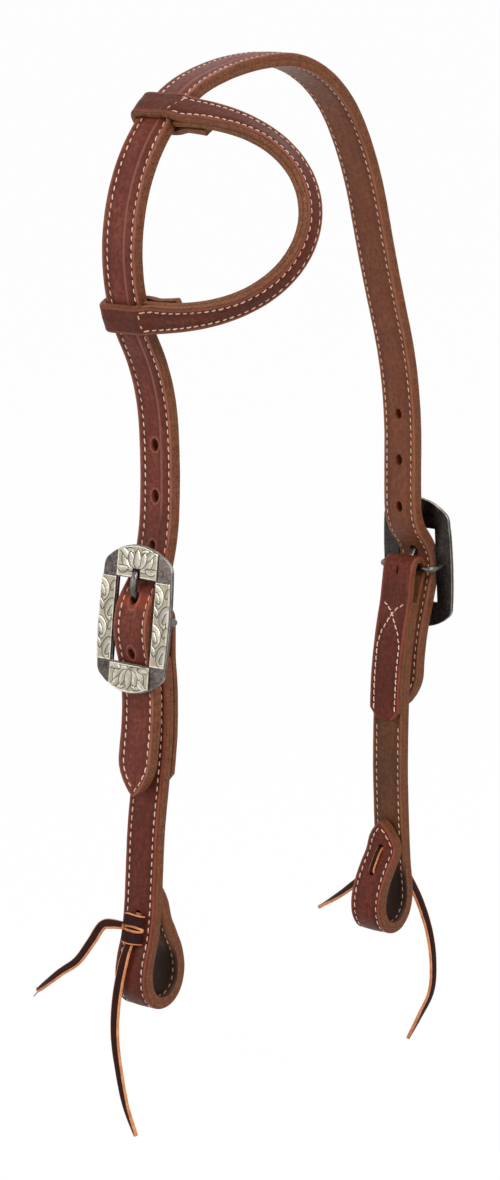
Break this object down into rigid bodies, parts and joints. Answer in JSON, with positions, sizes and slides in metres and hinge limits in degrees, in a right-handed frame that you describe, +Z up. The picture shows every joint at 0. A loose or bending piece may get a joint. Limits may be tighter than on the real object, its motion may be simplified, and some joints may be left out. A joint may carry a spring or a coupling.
{
  "type": "western one-ear headstall",
  "caption": "Western one-ear headstall of doubled, stitched leather with a sliding ear piece, engraved cart buckles, hanging cheek straps and lace-tied loops that carry a bit.",
  "frame": {"origin": "middle of the poll rest, under the top of the crown strap", "axes": "+X towards the front of the horse's head, the way the ear hoop stands out; +Y towards the far side; +Z up"},
  "size_m": [0.1543, 0.2405, 0.5185],
  "materials": {
    "grain_leather": "oiled, grain side out",
    "lining_leather": "oiled, smooth inner strap",
    "blued_steel": "blued, satin",
    "engraved_metal": "bright, engraved with scrolls",
    "lace_leather": "dark latigo lace, waxed"
  },
  "bodies": {
    "crown": {"crown_outer_ply": "grain_leather", "crown_lining_ply": "lining_leather", "near_buckle_frame": "blued_steel", "near_buckle_bail": "blued_steel", "near_top_overlay": "engraved_metal", "near_bottom_overlay": "engraved_metal", "near_front_overlay": "engraved_metal", "near_rear_overlay": "engraved_metal", "far_buckle_frame": "blued_steel", "far_buckle_bail": "blued_steel", "far_top_overlay": "engraved_metal", "far_bottom_overlay": "engraved_metal", "far_front_overlay": "engraved_metal", "far_rear_overlay": "engraved_metal"},
    "ear": {"ear_outer_ply": "grain_leather", "ear_lining_ply": "lining_leather"},
    "near_tongue": {"near_buckle_tongue": "blued_steel"},
    "near_cheek": {"near_cheek_outer_ply": "grain_leather", "near_cheek_lining_ply": "lining_leather", "near_tie_lace": "lace_leather", "near_tie_knot": "lace_leather", "near_tie_short_tail": "lace_leather", "near_tie_long_tail": "lace_leather"},
    "far_tongue": {"far_buckle_tongue": "blued_steel"},
    "far_cheek": {"far_cheek_outer_ply": "grain_leather", "far_cheek_lining_ply": "lining_leather", "far_tie_lace": "lace_leather", "far_tie_knot": "lace_leather", "far_tie_short_tail": "lace_leather", "far_tie_long_tail": "lace_leather"}
  },
  "joints": [
    {"name": "ear_slide", "type": "hinge", "parent": "crown", "child": "ear", "pos_m": [0, -0.02323, -0.07819], "axis": [1, 0, 0], "range_deg": [-4, 6]},
    {"name": "near_cheek_swing", "type": "hinge", "parent": "crown", "child": "near_cheek", "pos_m": [0, -0.083, -0.2465], "axis": [1, 0, 0], "range_deg": [0, 25]},
    {"name": "far_cheek_swing", "type": "hinge", "parent": "crown", "child": "far_cheek", "pos_m": [0, 0.12, -0.255], "axis": [1, 0, 0], "range_deg": [-25, 0]},
    {"name": "near_tongue_swing", "type": "hinge", "parent": "crown", "child": "near_tongue", "pos_m": [0, -0.083, -0.2465], "axis": [1, 0, 0], "range_deg": [0, 5]},
    {"name": "far_tongue_swing", "type": "hinge", "parent": "crown", "child": "far_tongue", "pos_m": [0, 0.12, -0.255], "axis": [1, 0, 0], "range_deg": [-5, 0]}
  ]
}
